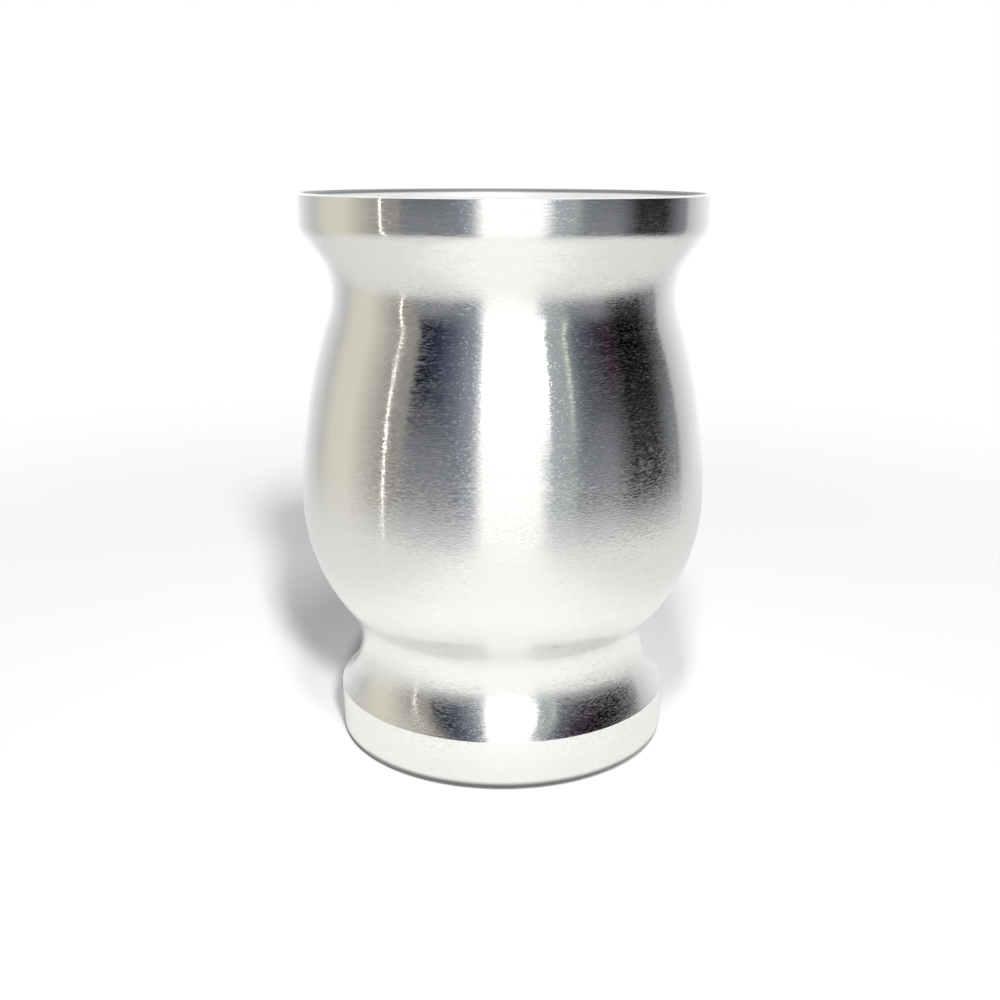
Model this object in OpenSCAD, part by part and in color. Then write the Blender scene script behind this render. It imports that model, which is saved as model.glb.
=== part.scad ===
// Double-walled mate cup in brushed steel: an outer shell, a cup inside it and a base plate

/* [Overall] */
// Height from the table to the top of the lip
cup_h = 100; // [92:0.5:110]
// Largest outside diameter, at the belly
belly_d = 73.8; // [71:0.2:78]

/* [Sheet] */
// Thickness of the outer shell's sheet
shell_t = 0.6; // [0.4:0.1:0.7]
// Thickness of the inner cup's sheet
liner_t = 0.5; // [0.4:0.1:0.7]
// Thickness of the base plate's sheet
plate_t = 0.6; // [0.4:0.1:1]

/* [Lip and rim band] */
// How far the straight band under the lip lies inside the belly's widest ring
band_inset = 0.8; // [0:0.1:2]
// Height of the band, from the top of the lip to its lower corner
band_h = 6.2; // [4:0.1:7]
// Radius that rounds the band's lower corner
shoulder_round = 3.5; // [1:0.1:5]
// Width of the lip's sloping outer side
lip_slope = 0.7; // [0.7:0.1:1.2]
// Angle of that slope, from level
lip_deg = 24; // [15:1:26]
// Width of the flat crown of the lip, where the two sheets are welded
crown_flat = 0.4; // [0.4:0.1:1]
// Radius of the lip's rounded inner edge
lip_round = 0.8; // [0.8:0.1:1.4]

/* [Neck] */
// How far the neck draws in from the band
neck_depth = 5.4; // [4.6:0.1:6.4]
// Distance of the neck's narrowest ring below the band's lower corner
neck_drop = 11; // [9.5:0.1:13]
// Angle of the straight flare between the neck and the band, from upright
flare_deg = 35.9; // [34:0.1:40]

/* [Belly] */
// Place of the widest ring on the way up from the waist to the neck
belly_share = 0.436; // [0.38:0.002:0.5]

/* [Waist and foot] */
// How far the waist draws in from the belly's widest ring
waist_depth = 10; // [8:0.1:12]
// Height of the waist's narrowest ring above the table
waist_h = 17.9; // [15:0.1:21]
// Radius of the hollow curve from the waist into the belly
waist_round = 11; // [6:0.5:14]
// How far the foot's sharp edge stands out from the waist
foot_flare = 3.9; // [3:0.1:5]
// Height of the sharp edge above the table
foot_edge_h = 9.3; // [6:0.1:12]
// How far the foot draws in from its sharp edge down to its base
foot_draw = 0.25; // [0:0.05:1]
// Radius of the rounded edge that the foot stands on
base_round = 1.4; // [1:0.1:2]
// Width of the shell's flat turned-in edge under the foot
base_flat = 0.4; // [0.2:0.1:1.5]

/* [Inner cup] */
// Space between the two sheets at the belly's widest ring
belly_gap = 3.3; // [2:0.1:4]
// Height of the inner cup's floor above the waist, on the drinking side
floor_rise = 5.1; // [3:0.1:9]
// Diameter of the flat middle of the inner cup's floor
floor_flat_d = 21; // [14:0.5:36]
// Place where the inner cup's upright wall ends, on the way up from its rounded floor to the neck
wall_share = 0.4; // [0.2:0.02:0.6]
// Radius that rounds the corner under the inner cup's mouth
mouth_round = 2; // [1:0.1:4]
// Space between the two sheets at the neck
neck_gap = 0.8; // [0.5:0.1:1.2]

/* [Base plate] */
// Depth of the recess under the cup
base_recess = 2.6; // [2:0.1:5]
// Radius between the base plate and its skirt
plate_round = 1.8; // [1.1:0.1:2.5]

/* [Hidden] */
$fn = 144;

// Largest distance between an arc and its chords
chord_error = 0.012;
shell_colour = [0.78, 0.79, 0.80];
liner_colour = [0.70, 0.71, 0.72];
plate_colour = [0.74, 0.75, 0.76];

// Neck and flare: the flare is a straight cone that touches the neck's hollow curve
belly_r = belly_d / 2;
band_r = belly_r - band_inset;
flare_top = [band_r, cup_h - band_h];
neck_h = flare_top[1] - neck_drop;
neck_round = (neck_drop * sin(flare_deg) - neck_depth * cos(flare_deg)) / (1 - cos(flare_deg));
neck_centre = [band_r - neck_depth + neck_round, neck_h];
shoulder_centre = corner_centre(flare_top, shoulder_round);
lip_corner = [band_r, cup_h - lip_slope * tan(lip_deg)];
crown_edge = [band_r - lip_slope, cup_h];
crown = crown_edge - [crown_flat / 2, 0];

// Belly: one arc up to the neck's curve and one down to the waist's
belly_h = waist_h + belly_share * (neck_h - waist_h);
upper_r = belly_radius(neck_centre - [belly_r, belly_h], neck_round);
upper_centre = [belly_r - upper_r, belly_h];
upper_deg = angle_between(upper_centre, neck_centre);
waist_r = belly_r - waist_depth;
waist_centre = [waist_r + waist_round, waist_h];
lower_r = belly_radius(waist_centre - [belly_r, belly_h], waist_round);
lower_centre = [belly_r - lower_r, belly_h];
lower_deg = -angle_between(lower_centre, waist_centre);

// Foot: an arc that leaves the waist upright and ends at the sharp edge
foot_edge = [waist_r + foot_flare, foot_edge_h];
foot_rise = waist_h - foot_edge_h;
foot_r = (foot_flare ^ 2 + foot_rise ^ 2) / (2 * foot_flare);
foot_centre = [waist_r + foot_r, waist_h];
foot_deg = angle_between(foot_edge, foot_centre);
base_centre = [foot_edge[0] - foot_draw - base_round, base_round];
seam = [base_centre[0] - base_flat, 0];

// Inner cup: follows the shell at the neck, and meets it at the crown of the lip
lip_centre = crown_edge - [crown_flat, lip_round];
mouth_r = lip_centre[0] - lip_round;
wall_stack = shell_t + neck_gap + liner_t;
bowl_r = belly_r - shell_t - belly_gap - liner_t;
bowl_round = bowl_r - floor_flat_d / 2;
bowl_floor_h = waist_h + floor_rise;
bowl_centre = [floor_flat_d / 2, bowl_floor_h + bowl_round];
wall_top = bowl_centre[1] + wall_share * (neck_h - bowl_centre[1]);
liner_neck_r = neck_round + wall_stack;
side_r = belly_radius(neck_centre - [bowl_r, wall_top], liner_neck_r);
side_centre = [bowl_r - side_r, wall_top];
side_deg = angle_between(side_centre, neck_centre);
inner_flare = flare_top + wall_stack * [-cos(flare_deg), sin(flare_deg)];
mouth_corner = [mouth_r, inner_flare[1] + (mouth_r - inner_flare[0]) / tan(flare_deg)];
mouth_centre = corner_centre(mouth_corner, mouth_round);

// Base plate: a shallow pan, open downwards, whose skirt stands in the foot
plate_top = base_recess + plate_t;
plate_centre = [seam[0] - plate_round, plate_top - plate_round];

// Angle of the line from one point to another
function angle_between(from, to) = atan2(to[1] - from[1], to[0] - from[0]);

// Centre of the arc that rounds a corner between the flare and an upright wall
function corner_centre(corner, r) = corner + [-r, r * tan(flare_deg / 2)];

// Radius of an arc that is upright at the widest ring and touches a hollow curve of radius r,
// whose centre lies the vector away from that ring
function belly_radius(away, r) = (away * away - r ^ 2) / (2 * (r - away[0]));

// Points along an arc, without its first one where skip is 1
function arc(centre, r, start, end, skip = 0) =
    let (steps = ceil(abs(end - start) / (2 * acos(1 - chord_error / r))))
    [for (i = [skip : steps])
        let (a = start + (end - start) * i / steps)
        centre + r * [cos(a), sin(a)]];

// Unit vector to the left of the way from one point to the next
function left_of(from, to) =
    let (way = (to - from) / norm(to - from))
    [-way[1], way[0]];

// The same path moved to its left by t
function beside(path, t) =
    let (last = len(path) - 1)
    [for (i = [0 : last])
        let (before = left_of(path[max(i - 1, 0)], path[max(i, 1)]))
        let (after = left_of(path[min(i, last - 1)], path[min(i + 1, last)]))
        path[i] + t * (before + after) / (1 + before * after)];

// Outside of the shell, from the seam under the foot up to the crown of the lip
shell_path = concat(
    [seam],
    arc(base_centre, base_round, -90, 0),
    [foot_edge],
    arc(foot_centre, foot_r, 180 + foot_deg, 180, 1),
    arc(waist_centre, waist_round, 180, 180 - lower_deg, 1),
    arc(lower_centre, lower_r, -lower_deg, 0, 1),
    arc(upper_centre, upper_r, 0, upper_deg, 1),
    arc(neck_centre, neck_round, 180 + upper_deg, 180 - flare_deg, 1),
    arc(shoulder_centre, shoulder_round, -flare_deg, 0),
    [lip_corner, crown_edge, crown]
);

// Drinking side of the inner cup, from the middle of its floor up to the crown of the lip
liner_path = concat(
    [[0, bowl_floor_h]],
    arc(bowl_centre, bowl_round, -90, 0),
    arc(side_centre, side_r, 0, side_deg),
    arc(neck_centre, liner_neck_r, 180 + side_deg, 180 - flare_deg, 1),
    arc(mouth_centre, mouth_round, -flare_deg, 0),
    arc(lip_centre, lip_round, 180, 90),
    [crown]
);

// Upper side of the base plate, from the seam under the foot to its middle
plate_path = concat(
    [seam],
    arc(plate_centre, plate_round, 0, 90),
    [[0, plate_top]]
);

// A turned sheet: its path with the thickness t laid to the left of it
module turned_sheet(path, t) {
    inner = beside(path, t);
    rotate_extrude()
        polygon(concat(path, [for (i = [len(inner) - 1 : -1 : 0]) inner[i]]));
}

module outer_shell() {
    color(shell_colour) turned_sheet(shell_path, shell_t);
}

module inner_cup() {
    color(liner_colour) turned_sheet(liner_path, -liner_t);
}

module base_plate() {
    color(plate_colour) turned_sheet(plate_path, plate_t);
}

outer_shell();
inner_cup();
base_plate();
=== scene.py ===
import math
import bpy
from mathutils import Matrix, Vector


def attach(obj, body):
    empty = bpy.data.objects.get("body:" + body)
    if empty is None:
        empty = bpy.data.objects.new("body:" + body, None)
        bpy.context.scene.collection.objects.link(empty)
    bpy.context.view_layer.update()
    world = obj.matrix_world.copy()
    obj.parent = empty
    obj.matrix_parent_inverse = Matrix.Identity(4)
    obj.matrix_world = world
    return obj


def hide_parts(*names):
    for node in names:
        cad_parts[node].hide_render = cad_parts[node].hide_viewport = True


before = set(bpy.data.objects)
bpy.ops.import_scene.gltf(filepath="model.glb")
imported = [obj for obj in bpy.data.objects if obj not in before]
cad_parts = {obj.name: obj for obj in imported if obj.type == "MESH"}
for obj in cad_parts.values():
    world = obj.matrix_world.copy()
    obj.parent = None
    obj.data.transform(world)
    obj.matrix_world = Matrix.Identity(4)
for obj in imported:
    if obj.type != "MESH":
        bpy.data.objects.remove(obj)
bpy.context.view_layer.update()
print("frame loaded:", ", ".join(sorted(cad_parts)))

mm = 0.001  # profile sizes are in millimetres, the scene is in metres

common = {
    "height": 100,  # table to the top of the lip
    "bellyWidth": 73.8,
    "shellSheet": 0.6, "linerSheet": 0.5, "plateSheet": 0.6,
    "chordError": 0.0025,  # how far an arc may stand off its chords
    "fewestSteps": 5,  # in any arc
    "samePoint": 1e-4,  # profile points closer than this are one
    "mergeWithin": 0.001,  # closes the seam of a turned sheet and its middle
    "stepsRound": 288,
    "creaseAngle": 32,  # a sharper bend isn't shaded smooth
}


def arcPoints(centre, radius, start, end):  # profile points are (distance from the axis, height)
    stepAngle = math.degrees(2 * math.acos(1 - common["chordError"] / radius))
    steps = max(common["fewestSteps"], math.ceil(abs(end - start) / stepAngle))
    angles = [math.radians(start + (end - start) * i / steps) for i in range(steps + 1)]
    return [(centre[0] + radius * math.cos(a), centre[1] + radius * math.sin(a)) for a in angles]


def lineAngle(fromPoint, toPoint):
    return math.degrees(math.atan2(toPoint[1] - fromPoint[1], toPoint[0] - fromPoint[0]))


def bellyRadius(away, hollow):  # arc that is upright at its widest ring and touches a hollow curve
    return (away[0] ** 2 + away[1] ** 2 - hollow ** 2) / (2 * (hollow - away[0]))


def dropRepeats(path):
    kept = [path[0]]
    for point in path[1:]:
        if math.dist(point, kept[-1]) > common["samePoint"]:
            kept.append(point)
    return kept


def besidePath(path, offset):  # the same path moved to its left
    def leftOf(a, b):
        length = math.dist(a, b)
        return (-(b[1] - a[1]) / length, (b[0] - a[0]) / length)
    last = len(path) - 1
    moved = []
    for i, point in enumerate(path):
        before = leftOf(path[max(i - 1, 0)], path[max(i, 1)])
        after = leftOf(path[min(i, last - 1)], path[min(i + 1, last)])
        scale = offset / (1 + before[0] * after[0] + before[1] * after[1])
        moved.append((point[0] + scale * (before[0] + after[0]), point[1] + scale * (before[1] + after[1])))
    return moved


shell = {
    "bandInset": 0.8, "bandHeight": 6.2, "shoulderRound": 3.5,
    "lipSlope": 0.7, "lipAngle": 24, "crownFlat": 0.4, "lipRound": 0.8,
    "neckDepth": 5.4, "neckDrop": 11, "flareAngle": 35.9,
    "bellyShare": 0.436,  # widest ring on the way up from the waist to the neck
    "waistDepth": 10, "waistHeight": 17.9, "waistRound": 11,
    "footFlare": 3.9, "footEdgeHeight": 9.3, "footDraw": 0.25, "baseRound": 1.4, "baseFlat": 0.4,
    "worn": 0.12,  # radius that wear has given the lip's corner and the foot's edge
}

bellyR = common["bellyWidth"] / 2
bandR = bellyR - shell["bandInset"]
flare = math.radians(shell["flareAngle"])
flareTop = (bandR, common["height"] - shell["bandHeight"])
neckHeight = flareTop[1] - shell["neckDrop"]
neckRound = ((shell["neckDrop"] * math.sin(flare) - shell["neckDepth"] * math.cos(flare))
             / (1 - math.cos(flare)))
neckCentre = (bandR - shell["neckDepth"] + neckRound, neckHeight)
lipCorner = (bandR, common["height"] - shell["lipSlope"] * math.tan(math.radians(shell["lipAngle"])))
crownEdge = (bandR - shell["lipSlope"], common["height"])
crown = (crownEdge[0] - shell["crownFlat"] / 2, common["height"])
waistR = bellyR - shell["waistDepth"]
footEdge = (waistR + shell["footFlare"], shell["footEdgeHeight"])
baseCentre = (footEdge[0] - shell["footDraw"] - shell["baseRound"], shell["baseRound"])
baseSeam = (baseCentre[0] - shell["baseFlat"], 0.0)


def flareCorner(corner, radius):  # curve between the flare and an upright wall
    centre = (corner[0] - radius, corner[1] + radius * math.tan(flare / 2))
    return arcPoints(centre, radius, -shell["flareAngle"], 0)


def easedCorner(before, corner, after, radius):  # small arc in place of a sharp corner
    def toward(point):
        length = math.dist(corner, point)
        return ((point[0] - corner[0]) / length, (point[1] - corner[1]) / length)
    u, v = toward(before), toward(after)
    half = math.acos(u[0] * v[0] + u[1] * v[1]) / 2
    reach = radius / math.tan(half)
    middle = math.hypot(u[0] + v[0], u[1] + v[1])
    centre = [corner[i] + (u[i] + v[i]) / middle * radius / math.sin(half) for i in (0, 1)]
    start, end = ([corner[i] + way[i] * reach for i in (0, 1)] for way in (u, v))
    return arcPoints(centre, radius, lineAngle(centre, start), lineAngle(centre, end))


def shellProfile():
    bellyHeight = shell["waistHeight"] + shell["bellyShare"] * (neckHeight - shell["waistHeight"])
    upperR = bellyRadius((neckCentre[0] - bellyR, neckCentre[1] - bellyHeight), neckRound)
    upperCentre = (bellyR - upperR, bellyHeight)
    upperAngle = lineAngle(upperCentre, neckCentre)
    waistCentre = (waistR + shell["waistRound"], shell["waistHeight"])
    lowerR = bellyRadius((waistCentre[0] - bellyR, waistCentre[1] - bellyHeight), shell["waistRound"])
    lowerCentre = (bellyR - lowerR, bellyHeight)
    lowerAngle = -lineAngle(lowerCentre, waistCentre)
    rise = shell["waistHeight"] - shell["footEdgeHeight"]
    footR = (shell["footFlare"] ** 2 + rise ** 2) / (2 * shell["footFlare"])
    footCentre = (waistR + footR, shell["waistHeight"])
    footCurve = arcPoints(footCentre, footR, 180 + lineAngle(footEdge, footCentre), 180)
    wallStart = (baseCentre[0] + shell["baseRound"], baseCentre[1])
    outside = dropRepeats(
        [baseSeam] + arcPoints(baseCentre, shell["baseRound"], -90, 0)
        + easedCorner(wallStart, footEdge, footCurve[1], shell["worn"]) + footCurve[1:]
        + arcPoints(waistCentre, shell["waistRound"], 180, 180 - lowerAngle)
        + arcPoints(lowerCentre, lowerR, -lowerAngle, 0)
        + arcPoints(upperCentre, upperR, 0, upperAngle)
        + arcPoints(neckCentre, neckRound, 180 + upperAngle, 180 - shell["flareAngle"])
        + flareCorner(flareTop, shell["shoulderRound"])
        + easedCorner(flareTop, lipCorner, crownEdge, shell["worn"]) + [crownEdge, crown])
    inside = besidePath(outside, common["shellSheet"])
    return outside + inside[::-1] + [outside[0]]


liner = {
    "bellyGap": 3.3, "neckGap": 0.8,  # between the two sheets
    "floorRise": 5.1, "floorFlat": 21, "wallShare": 0.4, "mouthRound": 2,
}


def linerProfile():
    lip = (crownEdge[0] - shell["crownFlat"], common["height"] - shell["lipRound"])
    mouthR = lip[0] - shell["lipRound"]
    stack = common["shellSheet"] + liner["neckGap"] + common["linerSheet"]
    bowlR = bellyR - common["shellSheet"] - liner["bellyGap"] - common["linerSheet"]
    bowlRound = bowlR - liner["floorFlat"] / 2
    bowlCentre = (liner["floorFlat"] / 2, shell["waistHeight"] + liner["floorRise"] + bowlRound)
    wallTop = bowlCentre[1] + liner["wallShare"] * (neckHeight - bowlCentre[1])
    hollow = neckRound + stack
    sideR = bellyRadius((neckCentre[0] - bowlR, neckCentre[1] - wallTop), hollow)
    sideCentre = (bowlR - sideR, wallTop)
    sideAngle = lineAngle(sideCentre, neckCentre)
    innerFlare = (flareTop[0] - stack * math.cos(flare), flareTop[1] + stack * math.sin(flare))
    mouthCorner = (mouthR, innerFlare[1] + (mouthR - innerFlare[0]) / math.tan(flare))
    drinkingSide = dropRepeats(
        [(0.0, bowlCentre[1] - bowlRound)]
        + arcPoints(bowlCentre, bowlRound, -90, 0)
        + arcPoints(sideCentre, sideR, 0, sideAngle)
        + arcPoints(neckCentre, hollow, 180 + sideAngle, 180 - shell["flareAngle"])
        + flareCorner(mouthCorner, liner["mouthRound"])
        + arcPoints(lip, shell["lipRound"], 180, 90) + [crown])
    return besidePath(drinkingSide, -common["linerSheet"]) + drinkingSide[::-1]


plate = {"recess": 2.6, "round": 1.8}


def plateProfile():
    top = plate["recess"] + common["plateSheet"]
    centre = (baseSeam[0] - plate["round"], top - plate["round"])
    upperSide = dropRepeats([baseSeam] + arcPoints(centre, plate["round"], 0, 90) + [(0.0, top)])
    return besidePath(upperSide, common["plateSheet"])[::-1] + upperSide


def feed(tree, socket, value):  # the value is a constant or another node's output
    if isinstance(value, bpy.types.NodeSocket):
        tree.links.new(value, socket)
    else:
        socket.default_value = value


def addNode(tree, kind, place, inputs=None, **settings):  # inputs go by name or number
    node = tree.nodes.new(kind)
    node.location = place
    for name, value in settings.items():
        setattr(node, name, value)
    for key, value in (inputs or {}).items():
        feed(tree, node.inputs[key], value)
    return node


def mathNode(tree, operation, place, *values):
    node = addNode(tree, "ShaderNodeMath", place, dict(enumerate(values)), operation=operation)
    return node.outputs[0]


def rangeNode(tree, place, value, low, high, toLow=0.0, toHigh=1.0, kind="SMOOTHSTEP"):
    return addNode(tree, "ShaderNodeMapRange", place,
                   {"Value": value, "From Min": low, "From Max": high, "To Min": toLow, "To Max": toHigh},
                   interpolation_type=kind).outputs[0]


def scaleNode(tree, place, vector, scale):
    return addNode(tree, "ShaderNodeVectorMath", place, {0: vector, "Scale": scale},
                   operation="SCALE").outputs[0]


def shownColour(red, green, blue):  # a colour as it looks on a screen, 0 to 255, made linear
    def linear(c):
        c /= 255
        return c / 12.92 if c <= 0.04045 else ((c + 0.055) / 1.055) ** 2.4
    return (linear(red), linear(green), linear(blue), 1.0)


def turnedSheetTree():  # a profile goes in, a turned sheet comes out
    tree = bpy.data.node_groups.new("turnedSheet", "GeometryNodeTree")
    for name, kind in (("Profile", "Geometry"), ("Steps Round", "Int"), ("Crease Angle", "Float"),
                       ("Sheet Material", "Material")):
        tree.interface.new_socket(name=name, in_out="INPUT", socket_type="NodeSocket" + kind)
    tree.interface.new_socket(name="Turned Sheet", in_out="OUTPUT", socket_type="NodeSocketGeometry")
    start = addNode(tree, "NodeGroupInput", (-1200, 0))
    profile = start.outputs["Profile"]

    # a flat grid one unit wide, with a column for each step round and a row for each profile point
    size = addNode(tree, "GeometryNodeAttributeDomainSize", (-1000, 200), {"Geometry": profile},
                   component="MESH")
    pointCount = size.outputs["Point Count"]
    columns = mathNode(tree, "ADD", (-1000, 0), start.outputs["Steps Round"], 1)
    grid = addNode(tree, "GeometryNodeMeshGrid", (-800, 100),
                   {"Size X": 1, "Size Y": 1, "Vertices X": columns, "Vertices Y": pointCount})
    where = addNode(tree, "GeometryNodeInputPosition", (-1000, -300)).outputs[0]
    parts = addNode(tree, "ShaderNodeSeparateXYZ", (-800, -300), {0: where})
    roundShare = mathNode(tree, "ADD", (-600, -250), parts.outputs["X"], 0.5)
    alongShare = mathNode(tree, "ADD", (-600, -400), parts.outputs["Y"], 0.5)
    lastPoint = mathNode(tree, "SUBTRACT", (-600, -550), pointCount, 1)
    row = mathNode(tree, "ROUND", (-250, -450),
                   mathNode(tree, "MULTIPLY", (-400, -450), alongShare, lastPoint))

    def atRow(kind, value, place):  # what the profile holds at the row's point
        return addNode(tree, "GeometryNodeSampleIndex", place,
                       {"Geometry": profile, "Value": value, "Index": row},
                       data_type=kind, domain="POINT").outputs[0]

    lengths = addNode(tree, "GeometryNodeInputNamedAttribute", (-250, -650), {"Name": "along"},
                      data_type="FLOAT")
    length = atRow("FLOAT", lengths.outputs["Attribute"], (-50, -600))
    ring = addNode(tree, "ShaderNodeSeparateXYZ", (150, -350), {0: atRow("FLOAT_VECTOR", where, (-50, -350))})
    turn = mathNode(tree, "MULTIPLY", (-50, -150), roundShare, 2 * math.pi)
    sheetX, sheetY = (
        mathNode(tree, "MULTIPLY", (350, y), ring.outputs["X"], mathNode(tree, part, (150, y), turn))
        for part, y in (("COSINE", -50), ("SINE", -200)))
    turned = addNode(tree, "ShaderNodeCombineXYZ", (550, -200),
                     {"X": sheetX, "Y": sheetY, "Z": ring.outputs["Z"]})
    uv = addNode(tree, "ShaderNodeCombineXYZ", (150, 350),  # U runs along the profile, across the brushing
                 {"X": alongShare, "Y": roundShare})

    sheet = grid.outputs["Mesh"]
    for kind, place, inputs, settings in (
            ("StoreNamedAttribute", (200, 150), {"Name": "along", "Value": length},
             {"data_type": "FLOAT", "domain": "POINT"}),
            ("StoreNamedAttribute", (400, 150), {"Name": "sheetUv", "Value": uv.outputs[0]},
             {"data_type": "FLOAT2", "domain": "CORNER"}),
            ("SetPosition", (750, 100), {"Position": turned.outputs[0]}, {}),
            ("MergeByDistance", (900, 100), {"Distance": common["mergeWithin"] * mm}, {}),
            ("SetShadeSmooth", (1050, 100), {"Shade Smooth": True}, {"domain": "FACE"})):
        node = addNode(tree, "GeometryNode" + kind, place, {"Geometry": sheet, **inputs}, **settings)
        sheet = node.outputs[0]
    bend = addNode(tree, "GeometryNodeInputMeshEdgeAngle", (900, -150))
    sharp = mathNode(tree, "GREATER_THAN", (1050, -150),
                     bend.outputs["Unsigned Angle"], start.outputs["Crease Angle"])
    crease = addNode(tree, "GeometryNodeSetShadeSmooth", (1200, 100),
                     {"Geometry": sheet, "Selection": sharp, "Shade Smooth": False}, domain="EDGE")
    real = addNode(tree, "GeometryNodeRealizeInstances", (1350, 100), {"Geometry": crease.outputs[0]})
    covered = addNode(tree, "GeometryNodeSetMaterial", (1500, 100),
                      {"Geometry": real.outputs[0], "Material": start.outputs["Sheet Material"]})
    addNode(tree, "NodeGroupOutput", (1650, 100), {0: covered.outputs[0]})
    return tree


def turnSheet(name, profile, material, tree):
    points = [(r * mm, 0, z * mm) for r, z in profile]
    line = bpy.data.meshes.new(name)
    line.from_pydata(points, [(i, i + 1) for i in range(len(points) - 1)], [])
    lengths = [0.0]
    for a, b in zip(points, points[1:]):
        lengths.append(lengths[-1] + math.dist(a, b))
    line.attributes.new("along", "FLOAT", "POINT").data.foreach_set("value", lengths)
    piece = bpy.data.objects.new(name, line)
    bpy.context.scene.collection.objects.link(piece)
    turning = piece.modifiers.new("turning", "NODES")
    turning.node_group = tree
    sockets = {item.name: item.identifier for item in tree.interface.items_tree if item.in_out == "INPUT"}
    turning[sockets["Steps Round"]] = common["stepsRound"]
    turning[sockets["Crease Angle"]] = math.radians(common["creaseAngle"])
    turning[sockets["Sheet Material"]] = material
    graph = bpy.context.evaluated_depsgraph_get()
    made = bpy.data.meshes.new_from_object(
        piece.evaluated_get(graph), preserve_all_data_layers=True, depsgraph=graph)
    piece.modifiers.remove(turning)
    piece.data = made
    made.name = name
    made.calc_loop_triangles()
    volume = sum(t.area * t.normal.dot(made.vertices[t.vertices[0]].co) for t in made.loop_triangles) / 3
    print(f"{name}: {len(made.loop_triangles)} triangles, {volume * 1e9:.1f} mm3")
    return piece


zones = {  # where the finish changes, millimetres above the table
    "darkTo": 0.9, "clearFrom": 1.9, "groundShade": 0.2,  # painted shade: the base colour of the rounding that the cup stands on is darkened
    "edgeFrom": 9.2, "edgeTo": 9.4, "dullTo": 15, "fineFrom": 17.5,  # the foot's hollow flare is duller
    "bandFrom": 92, "bandTo": 94,  # the lip's band has longer strokes
    "lipClearTo": 99.1, "lipDarkFrom": 99.5,  # painted shade darkens the base colour on the liner's lip rounding
}
grain = {  # sizes in millimetres
    "seedStart": 1.7,  # keeps the three axes of one noise apart
    "fineness": 0.6,  # how much each finer layer of a noise counts
    "broadness": 9, "broadShare": 0.2,  # broad streaks against single strokes
    "cloudSize": 14,  # the sheet's faint unevenness
    "longShare": 0.4, "longShareOnBand": 0.45,  # strokes against grain, and what the band adds
    "pitLength": 0.5, "pitWidth": 0.17, "pitFade": 0.08,
    "scratchLength": 3.0, "scratchWidth": 0.12, "scratchFade": 0.05,
    "lean": 0.8,  # how far scratches lean the other way as well, as a share of their tilt
    "markDepth": 0.5,  # pits and scratches against the strokes
    "low": 0.36, "high": 0.64,  # the noise values that the roughness spreads over
    "toneLow": 0.3, "toneHigh": 0.7,
}


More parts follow.
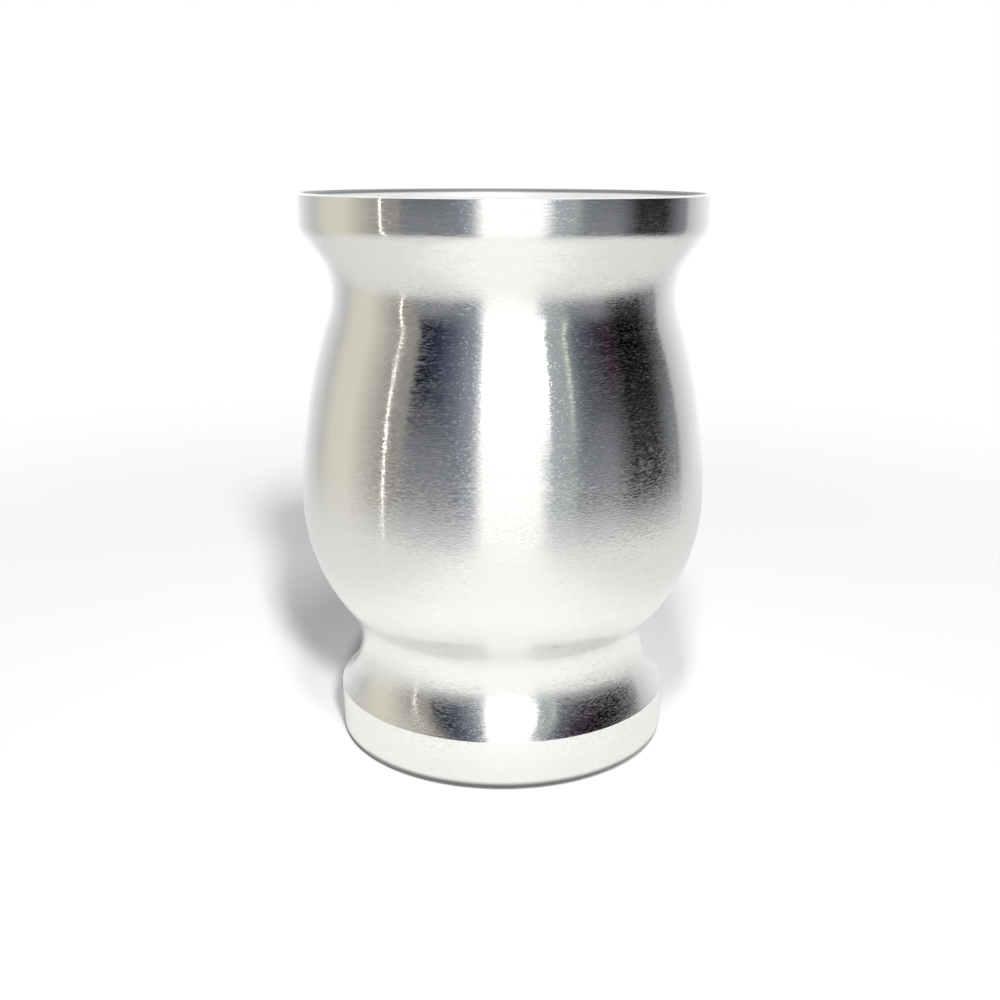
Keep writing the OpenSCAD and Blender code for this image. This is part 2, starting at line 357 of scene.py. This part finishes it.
def brushedSteel(name, finish):
    material = bpy.data.materials.new(name)
    material.use_nodes = True
    tree = material.node_tree
    tangent = addNode(tree, "ShaderNodeTangent", (-300, -500), direction_type="UV_MAP", uv_map="sheetUv")
    place = addNode(tree, "ShaderNodeTexCoord", (-2000, 0)).outputs["Object"]
    across, deep, height = addNode(tree, "ShaderNodeSeparateXYZ", (-1800, 0), {0: place}).outputs
    along = addNode(tree, "ShaderNodeAttribute", (-2000, -300), attribute_name="along",
                    attribute_type="GEOMETRY").outputs["Fac"]

    def strokes(length, width, detail, seed, row):  # noise drawn out round the cup
        spot = [mathNode(tree, "MULTIPLY_ADD", (-1600, row - 60 * axis),
                         value, 1 / (size * mm), seed * (axis + grain["seedStart"]))
                for axis, (value, size) in enumerate(((across, length), (deep, length), (along, width)))]
        joined = addNode(tree, "ShaderNodeCombineXYZ", (-1400, row), dict(enumerate(spot)))
        return addNode(tree, "ShaderNodeTexNoise", (-1200, row),
                       {"Vector": joined.outputs[0], "Scale": 1.0, "Detail": detail,
                        "Roughness": grain["fineness"]}).outputs["Fac"]

    def hairlines(tilt, seed, row):  # a few thin stray scratches that cross the brushing
        turned = addNode(tree, "ShaderNodeMapping", (-1500, row), {
            "Vector": place, "Location": [seed * i * mm for i in (1, 2, 3)],
            "Rotation": (math.radians(tilt * grain["lean"]), math.radians(tilt), 0.0),
            "Scale": (grain["scratchLength"] * mm, grain["scratchLength"] * mm, grain["scratchWidth"] * mm),
        }, vector_type="TEXTURE")
        noise = addNode(tree, "ShaderNodeTexNoise", (-1300, row),
                        {"Vector": turned.outputs[0], "Scale": 1.0, "Detail": 0.0})
        return rangeNode(tree, (-1100, row), noise.outputs["Fac"],
                         finish["scratchFrom"], finish["scratchFrom"] + grain["scratchFade"])

    length, width = finish["strokeLength"], finish["strokeWidth"]
    long = strokes(length, width, detail=1, seed=3.1, row=400)
    short = strokes(finish["grainLength"], width, detail=0, seed=7.7, row=100)
    broad = strokes(length * grain["broadness"], width * grain["broadness"], detail=2, seed=12.9, row=-200)
    cloud = strokes(grain["cloudSize"], grain["cloudSize"], detail=2, seed=21.3, row=-500)
    pitNoise = strokes(grain["pitLength"], grain["pitWidth"], detail=0, seed=15.1, row=700)
    pits = rangeNode(tree, (-1000, 900), pitNoise, finish["pitFrom"], finish["pitFrom"] + grain["pitFade"])
    scratches = mathNode(tree, "MAXIMUM", (-850, -850), hairlines(tilt=24, seed=5.3, row=-800),
                         hairlines(tilt=-33, seed=9.1, row=-1000))

    onBand = rangeNode(tree, (-1000, 1150), height, zones["bandFrom"] * mm, zones["bandTo"] * mm,
                       kind="LINEAR")
    longShare = mathNode(tree, "MULTIPLY_ADD", (-850, 1100),
                         onBand, grain["longShareOnBand"], grain["longShare"])
    relief = addNode(tree, "ShaderNodeMix", (-700, 300), {"Factor": longShare, 2: short, 3: long},
                     data_type="FLOAT").outputs[0]
    marks = mathNode(tree, "MAXIMUM", (-800, -700), scratches, pits)
    cut = mathNode(tree, "SUBTRACT", (-550, 200), relief,
                   mathNode(tree, "MULTIPLY", (-700, -700), marks, grain["markDepth"]))
    wave = addNode(tree, "ShaderNodeBump", (-600, 0),
                   {"Strength": 1.0, "Distance": finish["waveDepth"] * mm, "Height": cloud})
    fine = addNode(tree, "ShaderNodeBump", (-400, 200),
                   {"Strength": 1.0, "Distance": finish["strokeDepth"] * mm, "Height": cut,
                    "Normal": wave.outputs[0]})

    mixed = mathNode(tree, "ADD", (-750, -250),
                     mathNode(tree, "MULTIPLY", (-900, -200), broad, grain["broadShare"]),
                     mathNode(tree, "MULTIPLY", (-900, -350), relief, 1 - grain["broadShare"]))
    rough = rangeNode(tree, (-500, -250), mixed, grain["low"], grain["high"],
                      finish["roughness"] - finish["roughnessSpread"],
                      finish["roughness"] + finish["roughnessSpread"], kind="LINEAR")
    belowWaist = rangeNode(tree, (-700, -450), height, zones["fineFrom"] * mm, zones["dullTo"] * mm,
                           toHigh=finish["flareRoughness"])
    aboveEdge = rangeNode(tree, (-700, -650), height, zones["edgeFrom"] * mm, zones["edgeTo"] * mm,
                          kind="LINEAR")
    extra = mathNode(tree, "MULTIPLY", (-500, -550), belowWaist, aboveEdge)

    tone = addNode(tree, "ShaderNodeValToRGB", (-500, 500), {"Fac": mixed})
    for stop, position, side in zip(tone.color_ramp.elements, (grain["toneLow"], grain["toneHigh"]), (-1, 1)):
        stop.position = position
        stop.color = (*[c + side * finish["toneSpread"] for c in finish["colour"]], 1)
    # painted shade: the base colour darkens just above the table, in place of the contact shadow
    paintedContactShade = rangeNode(tree, (-500, 750), height, zones["darkTo"] * mm, zones["clearFrom"] * mm,
                       toLow=zones["groundShade"])
    # painted shade: the base colour darkens on the liner's lip rounding
    lip = rangeNode(tree, (-500, 950), height, zones["lipClearTo"] * mm, zones["lipDarkFrom"] * mm,
                    1.0, finish["paintedLipShade"])
    # the painted contact shade and the painted lip shade together, scaling the base colour
    shade = mathNode(tree, "MULTIPLY", (-350, 800), paintedContactShade, lip)
    for socket, value in {
            "Base Color": scaleNode(tree, (-200, 500), tone.outputs["Color"], shade),
            "Roughness": mathNode(tree, "ADD", (-300, -300), rough, extra),
            "Metallic": finish["metallic"], "Anisotropic": finish["anisotropy"],
            "Normal": fine.outputs[0], "Tangent": tangent.outputs[0]}.items():
        feed(tree, tree.nodes["Principled BSDF"].inputs[socket], value)
    return material


# sizes in millimetres, and marks show where their noise is above scratchFrom or pitFrom
shellFinish = {
    "colour": (0.885, 0.884, 0.856), "toneSpread": 0.01, "paintedLipShade": 1.0,
    "metallic": 1.0, "anisotropy": 1.0, "roughness": 0.142, "roughnessSpread": 0.096, "flareRoughness": 0.06,
    "strokeLength": 2.8, "grainLength": 0.85, "strokeWidth": 0.19, "strokeDepth": 0.015, "waveDepth": 0.002,
    "scratchFrom": 0.85, "pitFrom": 0.7,
}
linerFinish = {
    "colour": (0.93, 0.93, 0.93), "toneSpread": 0.015, "paintedLipShade": 0.27,
    "metallic": 0.35, "anisotropy": 0.35, "roughness": 0.42, "roughnessSpread": 0.04, "flareRoughness": 0.0,
    "strokeLength": 5.0, "grainLength": 0.8, "strokeWidth": 0.25, "strokeDepth": 0.008, "waveDepth": 0.004,
    "scratchFrom": 0.85, "pitFrom": 0.78,
}
plateFinish = {
    "colour": (0.76, 0.765, 0.77), "toneSpread": 0.03, "paintedLipShade": 1.0,
    "metallic": 1.0, "anisotropy": 0.5, "roughness": 0.32, "roughnessSpread": 0.05, "flareRoughness": 0.0,
    "strokeLength": 4.0, "grainLength": 0.8, "strokeWidth": 0.3, "strokeDepth": 0.01, "waveDepth": 0.004,
    "scratchFrom": 0.82, "pitFrom": 0.78,
}

sheetTree = turnedSheetTree()
for name, profile, finish in (("outer_shell", shellProfile(), shellFinish),
                              ("inner_cup", linerProfile(), linerFinish),
                              ("base_plate", plateProfile(), plateFinish)):
    piece = turnSheet("turned_" + name, profile, brushedSteel(name + "_steel", finish), sheetTree)
    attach(piece, "root")
    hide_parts(name)
print("three sheets turned")


floor = {
    "colour": (0.93, 0.93, 0.93), "roughness": 0.9, "side": 3.0,
    "near": 0.135, "far": 0.36,  # the paper fades out between these distances
    # painted shade, seen only in the steel: the paper that it mirrors is dimmer at both sides and close round
    # the foot
    "evenTo": 0.02, "dimFrom": 0.085, "dim": 0.8, "footTo": 0.033, "footFrom": 0.048, "paintedFootShade": 0.87,
}


def paleFloor():
    half = floor["side"] / 2
    mesh = bpy.data.meshes.new("paleFloor")
    corners = [(-half, -half, 0), (half, -half, 0), (half, half, 0), (-half, half, 0)]
    mesh.from_pydata(corners, [], [(0, 1, 2, 3)])
    obj = bpy.data.objects.new("paleFloor", mesh)
    bpy.context.scene.collection.objects.link(obj)
    material = bpy.data.materials.new("palePaper")
    material.use_nodes = True
    tree = material.node_tree
    place = addNode(tree, "ShaderNodeTexCoord", (-900, -300)).outputs["Object"]
    split = addNode(tree, "ShaderNodeSeparateXYZ", (-700, 0), {0: place})
    aside = mathNode(tree, "ABSOLUTE", (-550, 0), split.outputs["X"])
    distance = addNode(tree, "ShaderNodeVectorMath", (-700, -300), {0: place}, operation="LENGTH")
    away = distance.outputs["Value"]
    # painted shade on the paper for glossy rays only, darker at both sides and round the foot
    paintedSideShade = rangeNode(tree, (-400, 0), aside, floor["evenTo"], floor["dimFrom"], 1.0, floor["dim"])
    paintedFootShade = rangeNode(tree, (-400, 250), away, floor["footTo"], floor["footFrom"], toLow=floor["paintedFootShade"])
    path = addNode(tree, "ShaderNodeLightPath", (-400, 600))
    level = addNode(tree, "ShaderNodeMix", (-100, 200), {
        "Factor": path.outputs["Is Glossy Ray"], 2: 1.0,
        3: mathNode(tree, "MULTIPLY", (-250, 150), paintedSideShade, paintedFootShade)}, data_type="FLOAT")
    paper = tree.nodes["Principled BSDF"]
    feed(tree, paper.inputs["Base Color"], scaleNode(tree, (50, 200), floor["colour"], level.outputs[0]))
    feed(tree, paper.inputs["Roughness"], floor["roughness"])
    feed(tree, paper.inputs["Specular IOR Level"], 0.0)
    faded = rangeNode(tree, (-50, -300), away, floor["near"], floor["far"])
    clear = addNode(tree, "ShaderNodeBsdfTransparent", (100, -200))
    blend = addNode(tree, "ShaderNodeMixShader", (400, 0),
                    {0: faded, 1: paper.outputs[0], 2: clear.outputs[0]})
    feed(tree, tree.nodes["Material Output"].inputs["Surface"], blend.outputs[0])
    obj.data.materials.append(material)
    return obj


paleFloor()

room = {
    "ambient": 0.02,  # level that the room itself lends the floor
    "gain": 1.12,  # of all that the steel mirrors
    "frontCeiling": (0.33, 0.335, 0.34), "backCeiling": (0.92, 0.92, 0.92), "ceilingBlend": 0.25,
    "ceilingFrom": 60, "ceilingTo": 78,  # degrees above the horizon
    # lights in the walls: compass direction of the middle, width, level, heights between which they fade in
    "lights": [
        (7.4, 39.6, (1.9, 1.9, 1.9), 6, 16),
        (-68.6, 0.7, (3.0, 2.9, 2.75), -60, -50),
        (40.2, 2.0, (0.76, 0.78, 0.68), 5, 15),
    ],
    # pale haze low on the walls: heights where it starts and is full, compass direction that it spares
    "haze": {"level": (0.195, 0.205, 0.225), "from": 19, "to": -2, "spared": 87, "inner": 4, "outer": 28,
             "left": 0.12},
    # compass degrees from the front, left negative, and the colour as it looks
    "walls": [
        (-180, (252, 252, 252)), (-158, (244, 245, 246)), (-140, (210, 212, 214)), (-124, (184, 183, 182)),
        (-112, (206, 203, 190)), (-96, (210, 205, 193)), (-84, (184, 179, 170)), (-73.4, (156, 152, 146)),
        (-64, (138, 135, 131)), (-56.5, (136, 133, 129)), (-54.5, (32, 34, 52)), (-48, (18, 26, 44)),
        (-40, (46, 54, 74)), (-30, (88, 95, 110)), (-17.5, (142, 146, 156)), (-10, (255, 255, 255)),
        (19, (255, 255, 255)), (26.5, (165, 171, 176)), (38, (148, 154, 157)), (48, (88, 92, 102)),
        (64, (40, 34, 50)), (69, (54, 22, 46)), (74, (40, 12, 32)), (77, (4, 1, 4)), (90, (0, 0, 3)),
        (98, (14, 12, 16)), (105, (60, 56, 58)), (114, (84, 82, 85)), (119, (180, 181, 182)),
        (134, (212, 214, 215)), (156, (240, 241, 242)), (180, (252, 252, 252)),
    ],
}


def buildRoom():  # mirrored surroundings follow the compass direction as seen from the cup
    world = bpy.data.worlds.new("room")
    bpy.context.scene.world = world
    world.use_nodes = True
    tree = world.node_tree
    place = addNode(tree, "ShaderNodeTexCoord", (-1400, 0)).outputs["Generated"]
    toRight, toBack, toTop = addNode(tree, "ShaderNodeSeparateXYZ", (-1200, 0), {0: place}).outputs
    toFront = mathNode(tree, "MULTIPLY", (-1050, -50), toBack, -1.0)
    compass = mathNode(tree, "ARCTAN2", (-900, 0), toRight, toFront)
    height = mathNode(tree, "ARCSINE", (-1050, -250), toTop)
    share = mathNode(tree, "MULTIPLY_ADD", (-750, 0), compass, 1 / (2 * math.pi), 0.5)
    walls = addNode(tree, "ShaderNodeValToRGB", (-550, 200), {"Fac": share})
    stops = walls.color_ramp.elements
    stops.remove(stops[1])
    for i, (degrees, colour) in enumerate(room["walls"]):
        stop = stops[0] if i == 0 else stops.new((degrees + 180) / 360)
        stop.position = (degrees + 180) / 360
        stop.color = shownColour(*colour)

    def blend(factor, first, second, spot, kind="MIX"):  # first and second are colours or sockets
        first, second = ((*value, 1) if isinstance(value, tuple) else value for value in (first, second))
        return addNode(tree, "ShaderNodeMix", spot, {"Factor": factor, 6: first, 7: second},
                       data_type="RGBA", blend_type=kind).outputs[2]

    def angleRamp(value, low, high, spot):
        return rangeNode(tree, spot, value, math.radians(low), math.radians(high))

    def besideCompass(degrees, row):  # how far a direction lies from this one
        offset = mathNode(tree, "SUBTRACT", (-750, row), compass, math.radians(degrees))
        return mathNode(tree, "ABSOLUTE", (-600, row), offset)

    haze = room["haze"]
    unspared = angleRamp(besideCompass(haze["spared"], 1300), haze["inner"], haze["outer"], (-450, 1300))
    lent = mathNode(tree, "MAXIMUM", (-300, 1300), unspared, haze["left"])
    low = angleRamp(height, haze["from"], haze["to"], (-450, 1500))
    glow = scaleNode(tree, (100, 1500), haze["level"], mathNode(tree, "MULTIPLY", (-150, 1400), lent, low))
    around = blend(1.0, walls.outputs["Color"], glow, (150, 1300), kind="LIGHTEN")
    for i, (middle, width, level, fadeFrom, fadeTo) in enumerate(room["lights"]):
        row = 500 + 200 * i
        across = mathNode(tree, "LESS_THAN", (-450, row), besideCompass(middle, row), math.radians(width / 2))
        risen = angleRamp(height, fadeFrom, fadeTo, (-450, row + 100))
        inside = mathNode(tree, "MULTIPLY", (-350, row), across, risen)
        around = blend(inside, around, level, (-250, row))
    behind = rangeNode(tree, (-550, -450), toBack, -room["ceilingBlend"], room["ceilingBlend"])
    ceiling = blend(behind, room["frontCeiling"], room["backCeiling"], (-350, -400))
    up = angleRamp(height, room["ceilingFrom"], room["ceilingTo"], (-550, -200))
    mirror = scaleNode(tree, (200, 100), blend(up, around, ceiling, (0, 100)), room["gain"])
    path = addNode(tree, "ShaderNodeLightPath", (-200, -600))
    lit = blend(path.outputs["Is Glossy Ray"], (room["ambient"],) * 3, mirror, (400, 0))
    seen = blend(path.outputs["Is Camera Ray"], lit, (1.0, 1.0, 1.0), (600, 0))
    feed(tree, tree.nodes["Background"].inputs["Color"], seen)


buildRoom()

lamps = {
    # compass direction, height angle, distance, width, height, watts
    "keyLamp": (15, 33, 5.0, 0.4, 0.9, 212),
    "topLamp": (16, 60, 5.0, 0.5, 1.4, 62),
    "fillLamp": (-8, 55, 5.0, 0.4, 1.4, 104),
}


def hangLamp(name, compass, rise, distance, width, height, watts):
    a, e = math.radians(compass), math.radians(rise)
    data = bpy.data.lights.new(name, "AREA")
    data.shape, data.size, data.size_y, data.energy = "RECTANGLE", width, height, watts
    lamp = bpy.data.objects.new(name, data)
    bpy.context.scene.collection.objects.link(lamp)
    toward = Vector((math.sin(a) * math.cos(e), -math.cos(a) * math.cos(e), math.sin(e)))
    lamp.location = toward * distance
    lamp.rotation_mode = "QUATERNION"
    lamp.rotation_quaternion = (-toward).to_track_quat("-Z", "Y")
    lamp.visible_glossy = False  # the steel mirrors the room's bright window instead


for name, values in lamps.items():
    hangLamp(name, *values)
print("room and lamps set")

view = {
    "place": (-0.00045, -0.2210, 0.1046),
    "downAngle": 15.35, "roll": 0.18,
    "sensor": 36, "lens": 43.93, "clipStart": 0.01,
}
cameraData = bpy.data.cameras.new("frontCamera")
cameraData.sensor_width, cameraData.lens = view["sensor"], view["lens"]
cameraData.clip_start = view["clipStart"]
camera = bpy.data.objects.new("frontCamera", cameraData)
bpy.context.scene.collection.objects.link(camera)
camera.matrix_world = (Matrix.Translation(view["place"])
                       @ Matrix.Rotation(math.radians(90 - view["downAngle"]), 4, "X")
                       @ Matrix.Rotation(math.radians(view["roll"]), 4, "Z"))
bpy.context.scene.camera = camera
bpy.context.scene.view_settings.view_transform = "Standard"

bpy.context.view_layer.update()
